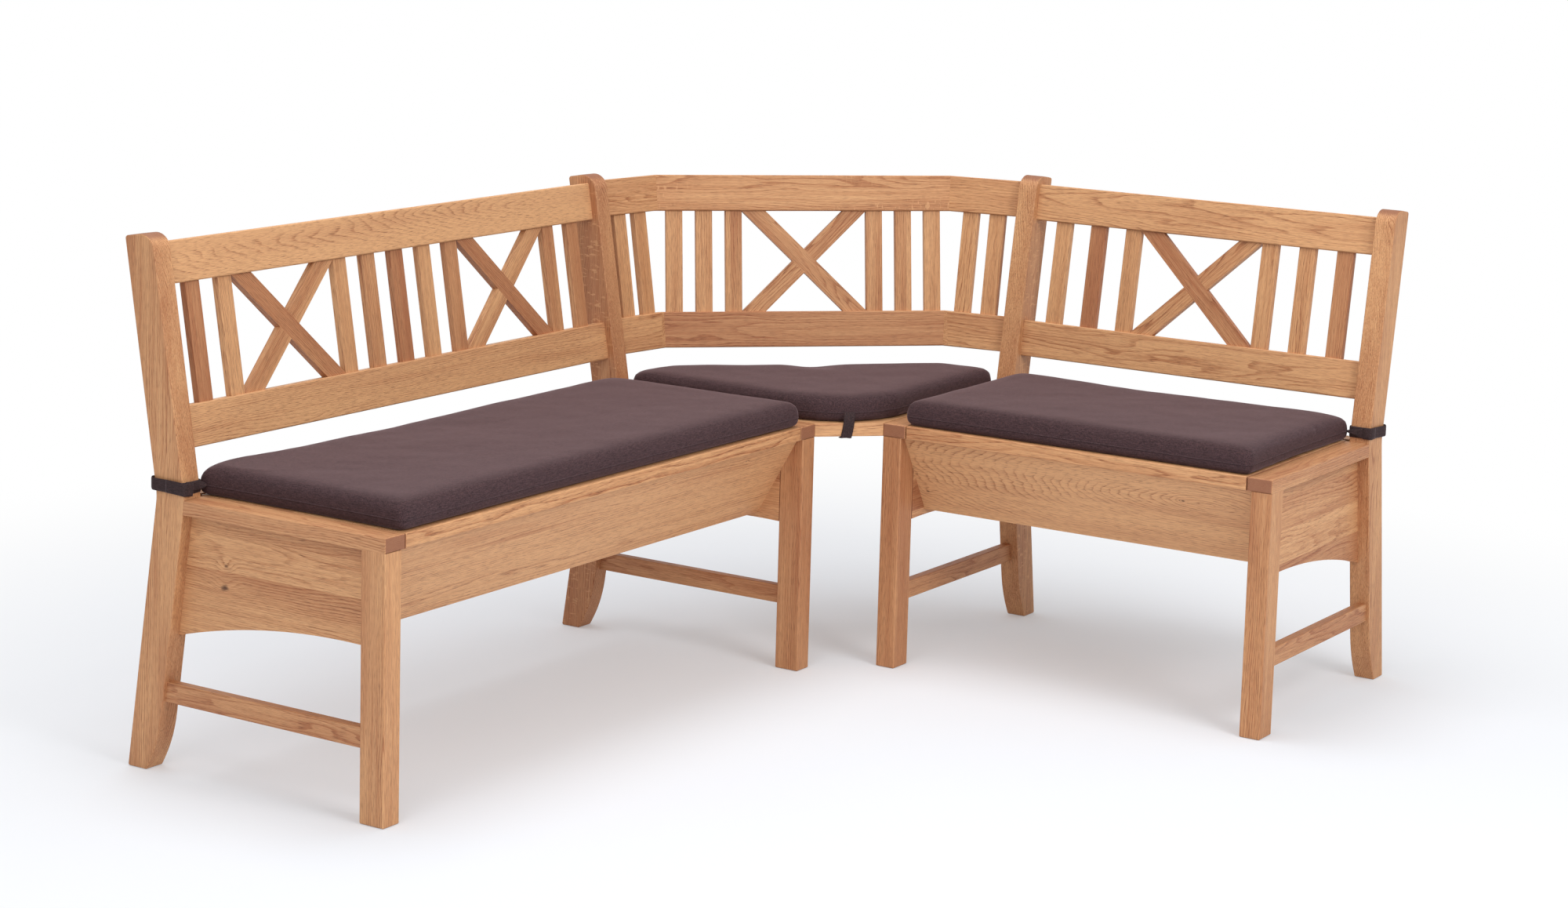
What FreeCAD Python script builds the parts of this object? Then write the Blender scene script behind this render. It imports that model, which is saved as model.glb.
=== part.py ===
import FreeCAD, Part
import math
import os

# Corner storage bench: a long and a short settle with hinged seats over storage chests,
# joined by a corner seat with a three-sided backrest. Sizes in millimetres, +Z up.
# The long bench runs along X and faces -Y, the short bench runs along Y and faces -X.

# overall lengths and the corner
long_length = 1188.0          # long bench over its two end frames
short_length = 763.0          # short bench over its two end frames
corner_gap = 88.8             # from each inner frame to the line of the other bench's front

# heights
seat_height = 450.0           # top of the seat boards
seat_thick = 24.0             # seat boards, side rails and corner seat
chest_low = 281.0             # lower edge of the chest boards

# end frames
leg_width = 38.0              # along the bench, front leg and back post
leg_depth = 48.0              # front leg, front to back
post_depth = 58.7             # back post, square to its slope
post_front = 408.2            # front of the post at seat height, from the seat front
post_lean = 9.3               # backrest slope in degrees
leg_rake = 8.09               # slope of the rear leg in degrees
post_top = 16.0               # post above the upper back rail, along its slope
post_nose = 28.0              # rounding of the post's top front corner
knee_round = 70.0
foot_kick = 20.0              # how far the foot curves back at the floor
foot_rise = 48.0              # height of the foot curve's corner
foot_round = 235.0
rail_width = 46.0             # side rail beside the seat
panel_recess = 22.0           # end panel behind the outer face of the frame
panel_low = 271.0             # lower edge of the end panel at the front
panel_arch = 1240.0           # radius of its arched lower edge
arch_centre = 100.0           # where the arch is level, from the seat front
stretcher_low = 116.0
stretcher_height = 33.0
stretcher_thick = 18.0
stretcher_recess = 6.0
edge_round = 2.5
post_edge = 2.0

# backrests
rail_setback = 14.2           # back rails behind the post front
rail_thick = 24.0
rail_height = 68.0
low_rail_rise = 76.0          # lower back rail above the seat, along the slope
slat_length = 192.0           # clear height between the back rails, along the slope
slat_width = 32.0
slat_thick = 13.0
slat_gap = 41.5
slat_setback = 5.5            # slat front behind the rail front
cross_width = 32.0            # width of the crossed diagonals
post_rise = low_rail_rise + 2 * rail_height + slat_length + post_top

# corner backrest
facet_turn = 8.0              # turn of its short sides in degrees
corner_reach = 307.6          # front of its long side at seat height, from the front corner
corner_slat_pitch = 57.5
corner_bay = 243.0            # bay of the crossed pair
side_slat_gap = 22.5
side_slat_edge = 27.5

# seats, chests and corner seat
seat_side_gap = 1.5
hinge_line = 421.0            # hinge axis from the seat front
hinge_drop = 1.0              # hinge axis below the seat top
knuckle_radius = 3.0
lid_back_gap = 0.3            # lid edge to knuckle
hinge_rail_gap = 3.8          # hinge rail from the hinge axis
hinge_rail_depth = 34.0
hinge_rail_thick = 24.0
front_board_top = 12.0        # slanted chest front behind the seat front, at its top
front_board_low = 94.0        # and at its lower edge
board_thick = 20.0
back_board_thick = 18.0
back_board_at = 426.0
bottom_thick = 12.0
bottom_level = 290.0
corner_seat_depth = 440.0
corner_seat_back = 330.0      # rear edge of the corner seat, from the front corner
cleat_thick = 30.0
cleat_reach = 24.8            # cleat past the frame
cleat_front = 75.0
cleat_back = 400.0

# hinges
leaf_width = 60.0
leaf_depth = 22.0
leaf_thick = 2.0
pin_radius = 1.2
pin_clearance = 0.05
knuckle_gap = 0.3
hinge_inset = 150.0
screw_radius = 1.2
screw_length = 14.0
screw_head = 2.6
screw_head_depth = 1.5

# cushions
cushion_thick = 48.0
cushion_rest = 0.3            # cushions lie this far over the seats
cushion_front = 3.0
cushion_back = 425.0
cushion_outer = 5.5           # from the outer post's inner face
cushion_inner = 2.5           # from the inner post's inner face
cushion_corner = 14.0
cushion_crown = 34.0          # width over which the edges of the top fall away
cushion_draw = 3.0            # the sides are drawn in by this between the corners
corner_cushion_side = 4.8     # corner cushion from the inner frames
corner_cushion_short = 426.0
corner_cushion_back = 312.5
corner_cushion_round = 18.0
corner_cushion_crown = 30.0
strap_width = 20.0
strap_thick = 2.4
strap_clear = 0.8
strap_rise = 8.0              # strap above the seat
strap_slack = 5.0             # the loop stands off the back of the post by this
tab_width = 20.0
tab_drop = 27.0               # the tab hangs this far over the front edge
tab_rise = 17.0               # its top above the underside of the cushion
tab_reach = 4.0               # and runs this far in towards the cushion

os.makedirs("parts", exist_ok=True)
V = FreeCAD.Vector
X = V(1, 0, 0)
Y = V(0, 1, 0)
Z = V(0, 0, 1)
pieces = {}
shared = {}                   # pieces of both benches that share a node


def box(x0, x1, y0, y1, z0, z1):
    return Part.makeBox(x1 - x0, y1 - y0, z1 - z0, V(x0, y0, z0))


def rounded(points):
    """Closed wire through (a, b, radius) corners, in the XY plane."""
    edges = []
    n = len(points)
    starts = []
    ends = []
    for i in range(n):
        a = V(points[i - 1][0], points[i - 1][1], 0)
        b = V(points[i][0], points[i][1], 0)
        c = V(points[(i + 1) % n][0], points[(i + 1) % n][1], 0)
        r = points[i][2]
        if r <= 0:
            starts.append(b)
            ends.append(b)
            edges.append(None)
            continue
        u = (a - b).normalize()
        w = (c - b).normalize()
        half = u.getAngle(w) / 2
        t = r / math.tan(half)
        mid = (u + w).normalize()
        centre = b + mid * (r / math.sin(half))
        starts.append(b + u * t)
        ends.append(b + w * t)
        edges.append(Part.Arc(b + u * t, centre - mid * r, b + w * t).toShape())
    out = []
    for i in range(n):
        if edges[i] is not None:
            out.append(edges[i])
        j = (i + 1) % n
        if (ends[i] - starts[j]).Length > 1e-6:
            out.append(Part.LineSegment(ends[i], starts[j]).toShape())
    return Part.Wire(out)


def side_prism(points, x0, x1):
    """Solid of a (depth, height, radius) profile, pushed along X from x0 to x1."""
    face = Part.Face(rounded(points))
    face.rotate(V(0, 0, 0), V(1, 1, 1), 120)
    solid = face.extrude(V(x1 - x0, 0, 0))
    solid.translate(V(x0, 0, 0))
    return solid


def soften(shape, radius, pick=None):
    """Round the straight edges that pick chooses."""
    edges = [e for e in shape.Edges if pick is None or pick(e)]
    return shape.makeFillet(radius, edges)


def mirrored(shape, length):
    return shape.mirror(V(length / 2, 0, 0), X)


def lean(shape, degrees, front):
    """From backrest axes (along, depth, up the slope) to the bench's own axes."""
    out = shape.copy()
    out.rotate(V(0, 0, 0), X, -degrees)
    out.translate(V(0, front, seat_height))
    return out


def on_long(shape):
    out = shape.copy()
    out.translate(V(-corner_gap - long_length, 0, 0))
    return out


def on_short(shape):
    out = shape.copy()
    out.rotate(V(0, 0, 0), Z, -90)
    out.translate(V(0, -corner_gap, 0))
    return out


def group(shapes):
    return shapes[0] if len(shapes) == 1 else Part.makeCompound(shapes)


lean_rad = math.radians(post_lean)
rake_tan = math.tan(math.radians(leg_rake))
seat_low = seat_height - seat_thick
knee_depth = post_depth / math.cos(lean_rad)


def leg_front(z):
    return post_front + (seat_height - z) * rake_tan


# End frame, built at the left end of a bench: outer face at x = 0.
def back_post():
    top = post_rise
    c = math.cos(lean_rad)
    s = math.sin(lean_rad)
    crown_front = (post_front + top * s, seat_height + top * c)
    crown_back = (crown_front[0] + post_depth * c, crown_front[1] - post_depth * s)
    knee_back = post_front + knee_depth
    foot_back = knee_back + seat_height * rake_tan
    foot_front = leg_front(0) + foot_kick
    profile = [
        (foot_front, 0, 3),
        (foot_back, 0, 3),
        (knee_back, seat_height, knee_round),
        (crown_back[0], crown_back[1], 5),
        (crown_front[0], crown_front[1], post_nose),
        (post_front, seat_height, 0),
        (leg_front(foot_rise), foot_rise, foot_round),
    ]
    post = side_prism(profile, 0, leg_width)
    return soften(post, post_edge, lambda e: e.BoundBox.XLength < 0.01)


def front_leg():
    leg = box(0, leg_width, 0, leg_depth, 0, seat_low)
    tall = lambda e: abs(e.Vertexes[0].Z - e.Vertexes[1].Z) > seat_low / 2
    leg = soften(leg, edge_round, tall)
    foot = [e for e in leg.Edges if e.BoundBox.ZMax < 0.01]
    return leg.makeChamfer(1.5, foot)


def side_rail():
    profile = [
        (0, seat_low, 0),
        (leg_front(seat_low), seat_low, 0),
        (post_front, seat_height, 0),
        (0, seat_height, 0),
    ]
    rail = side_prism(profile, 0, rail_width)
    front = lambda e: e.BoundBox.YMax < 0.01 or (
        e.BoundBox.YMin < 0.01 and e.BoundBox.ZMin > seat_height - 0.01 and e.BoundBox.YLength > 50)
    return soften(rail, edge_round, front)


def end_panel():
    wide = box(panel_recess, leg_width, leg_depth, leg_front(panel_low) + 40, panel_low - 80, seat_low)
    front_line = side_prism([
        (leg_depth, panel_low - 90, 0),
        (leg_front(panel_low - 90), panel_low - 90, 0),
        (leg_front(seat_low), seat_low, 0),
        (leg_depth, seat_low, 0),
    ], panel_recess, leg_width)
    arch = Part.makeCylinder(panel_arch, leg_width - panel_recess,
                             V(panel_recess, arch_centre, panel_low + 1 - panel_arch), X)
    return wide.common(front_line).cut(arch)


def stretcher():
    low = stretcher_low
    high = stretcher_low + stretcher_height
    profile = [
        (leg_depth, low, 0),
        (leg_front(low), low, 0),
        (leg_front(high), high, 0),
        (leg_depth, high, 0),
    ]
    bar = side_prism(profile, stretcher_recess, stretcher_recess + stretcher_thick)
    long_edge = lambda e: e.BoundBox.YLength > leg_front(low) / 2
    return soften(bar, 2.0, long_edge)


# Backrest, in its own axes: x along the bench, y into the backrest from the post front,
# z up the slope from the seat.
rail_front = rail_setback
slat_front = rail_setback + slat_setback
slat_low = low_rail_rise + rail_height
slat_high = slat_low + slat_length


def back_rail(x0, x1, low):
    rail = box(x0, x1, rail_front, rail_front + rail_thick, low, low + rail_height)
    along = lambda e: e.BoundBox.XLength > (x1 - x0) / 2
    return soften(rail, edge_round, along)


def slat(x0):
    bar = box(x0, x0 + slat_width, slat_front, slat_front + slat_thick, slat_low, slat_high)
    up = lambda e: e.BoundBox.ZLength > slat_length / 2
    return soften(bar, 1.5, up)


def cross_cut(bay):
    """Level width of a diagonal whose square width is cross_width."""
    h = slat_length
    w = cross_width
    a = h * h - w * w
    b = 2 * w * w * bay
    c = -w * w * (bay * bay + h * h)
    return (-b + math.sqrt(b * b - 4 * a * c)) / (2 * a)


def band(x0, x1, falling, y0, y1):
    cut = cross_cut(x1 - x0)
    if falling:
        corners = [(x0, slat_high), (x0 + cut, slat_high), (x1, slat_low), (x1 - cut, slat_low)]
    else:
        corners = [(x0, slat_low), (x0 + cut, slat_low), (x1, slat_high), (x1 - cut, slat_high)]
    pts = [V(x, y0, z) for x, z in corners]
    return Part.Face(Part.makePolygon(pts + pts[:1])).extrude(V(0, y1 - y0, 0))


def crossed(x0, x1):
    """The two diagonals of a bay, halved into each other where they cross."""
    y0 = slat_front
    y1 = slat_front + slat_thick
    ym = (y0 + y1) / 2
    falling = band(x0, x1, True, y0, y1)
    rising = band(x0, x1, False, y0, y1)
    lap = falling.common(rising)
    b = lap.BoundBox
    behind = box(b.XMin - 1, b.XMax + 1, ym, y1 + 1, b.ZMin - 1, b.ZMax + 1)
    before = box(b.XMin - 1, b.XMax + 1, y0 - 1, ym, b.ZMin - 1, b.ZMax + 1)
    return falling.cut(lap.common(behind)), rising.cut(lap.common(before))


def bench_back(length, runs):
    """Slat starts and bay limits for runs of slats with a crossed bay between the runs."""
    clear = length - 2 * leg_width
    count = sum(runs)
    bays = len(runs) - 1
    gaps = count - 1 - bays + 2
    bay = (clear - count * slat_width - gaps * slat_gap) / bays
    x = leg_width + slat_gap
    starts = []
    limits = []
    for i, run in enumerate(runs):
        for k in range(run):
            starts.append(x)
            x += slat_width
            if k < run - 1:
                x += slat_gap
        if i < bays:
            limits.append((x, x + bay))
            x += bay
    return starts, limits


# Hinges, seen at their own middle: axis along x at y = hinge_line.
axis_height = seat_height - hinge_drop
lid_back = hinge_line - knuckle_radius - lid_back_gap
hinge_rail_front = hinge_line + hinge_rail_gap
third = leaf_width / 3


def leaf_plate(x0, x1, y0, y1):
    return box(x0, x1, y0, y1, seat_height - leaf_thick, seat_height)


def screw_at(x, y):
    head = Part.makeCone(screw_head - screw_head_depth, screw_head, screw_head_depth,
                         V(x, y, seat_height - screw_head_depth), Z)
    shank = Part.makeCylinder(screw_radius, screw_length, V(x, y, seat_height - screw_length), Z)
    return head.fuse(shank).removeSplitter()


def screw_places(x, y0, y1):
    return [(x - third, (y0 + y1) / 2 - 3), (x, (y0 + y1) / 2 + 4), (x + third, (y0 + y1) / 2 - 3)]


def hinge(x):
    """Lid leaf, frame leaf, pin and the two sets of screws of one butt hinge."""
    a = x - leaf_width / 2
    mid0 = x - third / 2 + knuckle_gap / 2
    mid1 = x + third / 2 - knuckle_gap / 2
    bore = Part.makeCylinder(pin_radius, leaf_width, V(a, hinge_line, axis_height), X)
    loose = Part.makeCylinder(pin_radius + pin_clearance, leaf_width, V(a, hinge_line, axis_height), X)
    lid_leaf = leaf_plate(a, a + leaf_width, lid_back - leaf_depth, lid_back)
    lid_leaf = lid_leaf.fuse(leaf_plate(mid0, mid1, lid_back, hinge_line))
    lid_leaf = lid_leaf.fuse(Part.makeCylinder(knuckle_radius, mid1 - mid0,
                                               V(mid0, hinge_line, axis_height), X)).cut(loose)
    frame_leaf = leaf_plate(a, a + leaf_width, hinge_rail_front, hinge_rail_front + leaf_depth)
    for k0, k1 in ((a, mid0 - knuckle_gap), (mid1 + knuckle_gap, a + leaf_width)):
        frame_leaf = frame_leaf.fuse(leaf_plate(k0, k1, hinge_line, hinge_rail_front))
        frame_leaf = frame_leaf.fuse(Part.makeCylinder(knuckle_radius, k1 - k0,
                                                       V(k0, hinge_line, axis_height), X))
    frame_leaf = frame_leaf.cut(bore)
    lid_screws = [screw_at(*p) for p in screw_places(x, lid_back - leaf_depth, lid_back)]
    rail_places = screw_places(x, hinge_rail_front, hinge_rail_front + leaf_depth)
    rail_screws = [screw_at(*p) for p in rail_places]
    for s in lid_screws:
        lid_leaf = lid_leaf.cut(s)
    for s in rail_screws:
        frame_leaf = frame_leaf.cut(s)
    return lid_leaf.removeSplitter(), frame_leaf.removeSplitter(), bore, lid_screws, rail_screws


# Cushions: closed outlines stacked up the thickness and lofted, fullest at the middle.
def drawn_in(points, draw, corner):
    """Outline whose straight sides bow in by draw between rounded corners."""
    n = len(points)
    inner = []
    for i in range(n):
        a = V(points[i - 1][0], points[i - 1][1], 0)
        b = V(points[i][0], points[i][1], 0)
        c = V(points[(i + 1) % n][0], points[(i + 1) % n][1], 0)
        u = (a - b).normalize()
        w = (c - b).normalize()
        half = u.getAngle(w) / 2
        t = corner / math.tan(half)
        mid = (u + w).normalize()
        centre = b + mid * (corner / math.sin(half))
        inner.append((b + u * t, centre - mid * corner, b + w * t))
    edges = []
    for i in range(n):
        s, m, e = inner[i]
        edges.append(Part.Arc(s, m, e).toShape())
        nxt = inner[(i + 1) % n][0]
        side = nxt - e
        inward = V(-side.y, side.x, 0).normalize()
        bow = draw if side.Length > 150 else 0
        if bow:
            edges.append(Part.Arc(e, (e + nxt) * 0.5 + inward * bow, nxt).toShape())
        else:
            edges.append(Part.LineSegment(e, nxt).toShape())
    return Part.Wire(edges)


def inset(points, d):
    """Convex outline, counterclockwise, moved in by d."""
    n = len(points)
    lines = []
    for i in range(n):
        a = V(points[i][0], points[i][1], 0)
        b = V(points[(i + 1) % n][0], points[(i + 1) % n][1], 0)
        t = (b - a).normalize()
        lines.append((a + V(-t.y, t.x, 0) * d, t))
    out = []
    for i in range(n):
        p, t = lines[i - 1]
        q, s = lines[i]
        k = ((q.x - p.x) * s.y - (q.y - p.y) * s.x) / (t.x * s.y - t.y * s.x)
        out.append((p.x + t.x * k, p.y + t.y * k))
    return out


def cushion(points, corner, base, crown):
    layers = [(0.0, 11.5), (0.06, 6.4), (0.18, 2.4), (0.36, 0.0), (0.55, 0.8), (0.72, 3.5),
              (0.85, 9.0), (0.94, crown * 0.55), (1.0, crown)]
    wires = []
    for share, d in layers:
        ring = drawn_in(inset(points, d), cushion_draw, max(corner - d * 0.1, 4))
        ring.translate(V(0, 0, base + share * cushion_thick))
        wires.append(ring)
    return Part.makeLoft(wires, True, True)


cushion_base = seat_height + cushion_rest


def bench(side, length, place, runs, hinges, outer_first):
    """All the pieces of one bench, built in its own axes and put in place."""
    def keep(name, shape):
        pieces[side + "_" + name] = place(shape)

    names = ("outer", "inner") if outer_first else ("inner", "outer")
    for end, flip in zip(names, (False, True)):
        for piece, make in (("front_leg", front_leg), ("back_post", back_post),
                            ("side_rail", side_rail), ("end_panel", end_panel)):
            shape = make()
            if flip:
                shape = mirrored(shape, length)
            keep(end + "_" + piece, shape)
    keep("stretchers", group([stretcher(), mirrored(stretcher(), length)]))

    for rail_name, low in (("back_top_rail", slat_high), ("back_low_rail", low_rail_rise)):
        rail = back_rail(leg_width, length - leg_width, low)
        keep(rail_name, lean(rail, post_lean, post_front))
    starts, limits = bench_back(length, runs)
    keep("back_slats", lean(group([slat(x) for x in starts]), post_lean, post_front))
    pairs = [crossed(a, b) for a, b in limits]
    keep("cross_falling", lean(group([p[0] for p in pairs]), post_lean, post_front))
    keep("cross_rising", lean(group([p[1] for p in pairs]), post_lean, post_front))

    made = [hinge(x) for x in hinges]
    lid_side = rail_width + seat_side_gap
    lid = box(lid_side, length - lid_side, 0, lid_back, seat_low, seat_height)
    lid = soften(lid, edge_round, lambda e: e.BoundBox.YMax < 0.01 or (
        e.BoundBox.ZMin > seat_height - 0.01 and e.BoundBox.YLength > 50))
    rail = box(leg_width, length - leg_width, hinge_rail_front, hinge_rail_front + hinge_rail_depth,
               seat_height - hinge_rail_thick, seat_height)
    lid_screws = []
    rail_screws = []
    for lid_leaf, frame_leaf, pin, a, b in made:
        x0 = lid_leaf.BoundBox.XMin
        x1 = lid_leaf.BoundBox.XMax
        lid = lid.cut(leaf_plate(x0, x1, lid_back - leaf_depth, lid_back))
        rail = rail.cut(leaf_plate(x0, x1, hinge_rail_front, hinge_rail_front + leaf_depth))
        lid_screws += a
        rail_screws += b
    for s in lid_screws:
        lid = lid.cut(s)
    for s in rail_screws:
        rail = rail.cut(s)
    keep("lid", lid)
    keep("hinge_rail", rail)
    keep("lid_hinge_leaves", group([m[0] for m in made]))
    keep("lid_hinge_screws", group(lid_screws))
    for name, shapes in (("hinge_frame_leaves", [m[1] for m in made]),
                         ("hinge_pins", [m[2] for m in made]),
                         ("hinge_frame_screws", rail_screws)):
        shared.setdefault(name, []).extend(place(shape) for shape in shapes)

    slope = math.atan2(front_board_low - front_board_top, seat_low - chest_low)
    level = board_thick / math.cos(slope)
    front_board = side_prism([
        (front_board_top, seat_low, 0),
        (front_board_low, chest_low, 0),
        (front_board_low + level, chest_low, 0),
        (front_board_top + level, seat_low, 0),
    ], leg_width, length - leg_width)
    keep("chest_front", soften(front_board, 2.0, lambda e: e.BoundBox.ZMax < chest_low + 0.01
                               and e.BoundBox.XLength > length / 2))
    keep("chest_back", box(leg_width, length - leg_width, back_board_at,
                           back_board_at + back_board_thick, chest_low, seat_height - hinge_rail_thick))
    run = (front_board_low - front_board_top) / (seat_low - chest_low)
    inner = lambda z: front_board_top + level + (seat_low - z) * run
    keep("chest_bottom", side_prism([
        (inner(bottom_level), bottom_level, 0),
        (back_board_at, bottom_level, 0),
        (back_board_at, bottom_level + bottom_thick, 0),
        (inner(bottom_level + bottom_thick), bottom_level + bottom_thick, 0),
    ], leg_width, length - leg_width))

    x0 = leg_width + (cushion_outer if outer_first else cushion_inner)
    x1 = length - leg_width - (cushion_inner if outer_first else cushion_outer)
    outline = [(x0, cushion_front), (x1, cushion_front), (x1, cushion_back), (x0, cushion_back)]
    keep("cushion", cushion(outline, cushion_corner, cushion_base, cushion_crown))

    z0 = seat_height + strap_rise
    z1 = z0 + strap_width
    low_front = post_front + (z0 - seat_height) * math.tan(lean_rad)
    high_back = post_front + knee_depth + (z1 - seat_height) * math.tan(lean_rad)
    high_back += strap_slack
    gap = strap_clear
    t = strap_thick
    ring = [(-gap, low_front - gap, 2), (leg_width + gap, low_front - gap, 2),
            (leg_width + gap, high_back + gap, 2), (-gap, high_back + gap, 2)]
    hull = [(-gap - t, low_front - gap - t, 4), (leg_width + gap + t, low_front - gap - t, 4),
            (leg_width + gap + t, high_back + gap + t, 4), (-gap - t, high_back + gap + t, 4)]
    loop = Part.Face(rounded(hull)).extrude(V(0, 0, strap_width))
    loop = loop.cut(Part.Face(rounded(ring)).extrude(V(0, 0, strap_width)))
    loop.translate(V(0, 0, z0))
    if not outer_first:
        loop = mirrored(loop, length)
    keep("cushion_strap", loop)


def spaced(length, count):
    first = hinge_inset
    last = length - hinge_inset
    return [first + (last - first) * i / (count - 1) for i in range(count)]


bench("long", long_length, on_long, (2, 5, 2), spaced(long_length, 3), True)
bench("short", short_length, on_short, (3, 3), spaced(short_length, 2), False)
for name, shapes in shared.items():
    pieces[name] = group(shapes)


# Corner backrest: three sides with the same slope, mitred on upright planes.
rail_plane = post_front + rail_setback / math.cos(lean_rad)
turn = math.radians(facet_turn)


def facet(degrees, reach):
    """Puts backrest axes, with y from the rail front, on a side that faces away at this angle."""
    def put(shape):
        out = shape.copy()
        out.translate(V(0, -rail_front, 0))
        out.rotate(V(0, 0, 0), X, -post_lean)
        out.translate(V(0, reach, seat_height))
        out.rotate(V(0, 0, 0), Z, degrees - 90)
        return out
    return put


short_reach = rail_plane * math.cos(turn) - corner_gap * math.sin(turn)
long_side = facet(45, corner_reach)
left_side = facet(90 - facet_turn, short_reach)

# the upright mitre plane between the left and the long side, in the corner's axes
mitre_normal = V(math.sin(turn) - math.sqrt(0.5), math.cos(turn) - math.sqrt(0.5), 0)
mitre_at = (short_reach - corner_reach) / mitre_normal.Length
mitre_normal.normalize()
reach_far = 1500.0


def upright_half(normal, distance, positive):
    """A large block on one side of the upright plane normal . p = distance."""
    block = box(0, reach_far, -reach_far, reach_far, -reach_far, reach_far)
    if not positive:
        block.translate(V(-reach_far, 0, 0))
    block.translate(V(distance, 0, 0))
    block.rotate(V(0, 0, 0), Z, math.degrees(math.atan2(normal.y, normal.x)))
    return block


left_of_mitre = upright_half(mitre_normal, mitre_at, True)
right_of_mitre = upright_half(mitre_normal, mitre_at, False)
swap = lambda shape: shape.mirror(V(0, 0, 0), V(1, -1, 0))
past_frame = box(-corner_gap, reach_far, -reach_far, reach_far, -reach_far, reach_far)


def mitre_places(rise):
    """Half of the long side, and the end of the left side along its own axis, at this rise."""
    more = rise * math.sin(lean_rad)
    bend = math.radians(45) - turn
    near = short_reach + more
    far = corner_reach + more
    half = (near - far * math.cos(bend)) / math.sin(bend)
    along = (far - near * math.cos(bend)) / math.sin(bend)
    return half, along


half_long, _ = mitre_places(post_rise)
half_long += rail_thick
for name, low in (("top", slat_high), ("low", low_rail_rise)):
    middle = long_side(back_rail(-half_long, half_long, low))
    middle = middle.common(right_of_mitre).common(swap(right_of_mitre))
    pieces["corner_" + name + "_rail"] = middle
    side = left_side(back_rail(-half_long, half_long, low)).common(left_of_mitre).common(past_frame)
    pieces["corner_" + name + "_side_rails"] = group([side, swap(side)])

_, joint_along = mitre_places(slat_high)
half_bay = corner_bay / 2
corner_slats = []
for k in range(3):
    start = half_bay + k * corner_slat_pitch
    corner_slats.append(long_side(slat(start)))
    corner_slats.append(long_side(slat(-start - slat_width)))
for k in range(2):
    end = joint_along - side_slat_edge - k * (slat_width + side_slat_gap)
    bar = left_side(slat(end - slat_width))
    corner_slats.append(bar)
    corner_slats.append(swap(bar))
pieces["corner_slats"] = group(corner_slats)
falling, rising = crossed(-half_bay, half_bay)
pieces["corner_cross_falling"] = long_side(falling)
pieces["corner_cross_rising"] = long_side(rising)


# Corner seat, between the two inner frames.
def flat_prism(points, z0, z1):
    pts = [V(x, y, z0) for x, y in points]
    return Part.Face(Part.makePolygon(pts + pts[:1])).extrude(V(0, 0, z1 - z0))


g = corner_gap
d = corner_seat_depth
cut_at = corner_seat_back * math.sqrt(2) - d
seat = flat_prism([(-g, 0), (0, -g), (d, -g), (d, cut_at), (cut_at, d), (-g, d)], seat_low, seat_height)
slanted = lambda e: abs(e.BoundBox.XLength - g) < 0.01 and abs(e.BoundBox.YLength - g) < 0.01
pieces["corner_seat"] = soften(seat, 2.0, slanted)
cleat = box(-g - panel_recess, -g + cleat_reach, cleat_front, cleat_back,
            seat_low - cleat_thick, seat_low)
pieces["corner_seat_cleats"] = group([cleat, swap(cleat)])

# The cushion's back follows the three sides, low enough to be lifted straight up past them.
s = -g + corner_cushion_side
e = corner_cushion_short
t = math.tan(turn)
c = (corner_cushion_back * math.sqrt(2) - e - t * s) / (1 - t)
b = corner_cushion_back * math.sqrt(2) - c
outline = [(s, 62), (-70, 6), (-41, -41), (6, -70), (62, s), (e, s), (b, c), (c, b), (s, e)]
pieces["corner_cushion"] = cushion(outline, corner_cushion_round, cushion_base, corner_cushion_crown)

# A short tab comes from the seam at the cushion's nose and hangs over the seat's front edge.
front = -g / math.sqrt(2)
face_gap = 0.4
tab_top = cushion_base + tab_rise
tab = box(-tab_width / 2, tab_width / 2, front - face_gap - strap_thick, front - face_gap,
          seat_height - tab_drop, tab_top)
tab = tab.fuse(box(-tab_width / 2, tab_width / 2, front - face_gap - strap_thick, front + tab_reach,
                   tab_top, tab_top + strap_thick)).removeSplitter()
tab.rotate(V(0, 0, 0), Z, -45)
pieces["corner_cushion_tab"] = tab

# The origin is at the middle of the footprint, on the floor.
total = FreeCAD.BoundBox()
for shape in pieces.values():
    total.add(shape.BoundBox)
move = V(-total.Center.x, -total.Center.y, 0)
for name, shape in pieces.items():
    out = shape.copy()
    out.translate(move)
    solids = out.Solids
    if not out.isValid() or not solids:
        print("not a valid solid:", name)
    out = solids[0] if len(solids) == 1 else Part.makeCompound(solids)
    out.exportStep("parts/" + name + ".step")
print("pieces", len(pieces), "moved by", round(move.x, 3), round(move.y, 3))
print("size", round(total.XLength, 1), round(total.YLength, 1), round(total.ZLength, 1))
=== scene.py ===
import math
import bpy
import bmesh
from mathutils import Vector, Matrix, noise


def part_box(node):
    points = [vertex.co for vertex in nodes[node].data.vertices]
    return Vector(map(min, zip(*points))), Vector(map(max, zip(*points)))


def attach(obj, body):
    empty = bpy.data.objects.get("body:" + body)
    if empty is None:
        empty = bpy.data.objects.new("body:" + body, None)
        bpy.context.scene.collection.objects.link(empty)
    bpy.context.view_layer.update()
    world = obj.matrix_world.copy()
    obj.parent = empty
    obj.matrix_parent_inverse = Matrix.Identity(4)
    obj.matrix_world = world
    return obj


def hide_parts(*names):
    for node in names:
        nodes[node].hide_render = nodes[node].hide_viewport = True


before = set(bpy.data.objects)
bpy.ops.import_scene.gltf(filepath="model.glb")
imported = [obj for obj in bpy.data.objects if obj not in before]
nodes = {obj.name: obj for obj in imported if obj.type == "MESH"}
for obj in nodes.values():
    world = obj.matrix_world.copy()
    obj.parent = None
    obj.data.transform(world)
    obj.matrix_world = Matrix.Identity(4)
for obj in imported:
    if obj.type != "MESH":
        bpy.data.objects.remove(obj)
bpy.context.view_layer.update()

# Places and sizes of the benches in the frame, in millimetres.
SHIFT = (373.2, 160.7)
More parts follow.
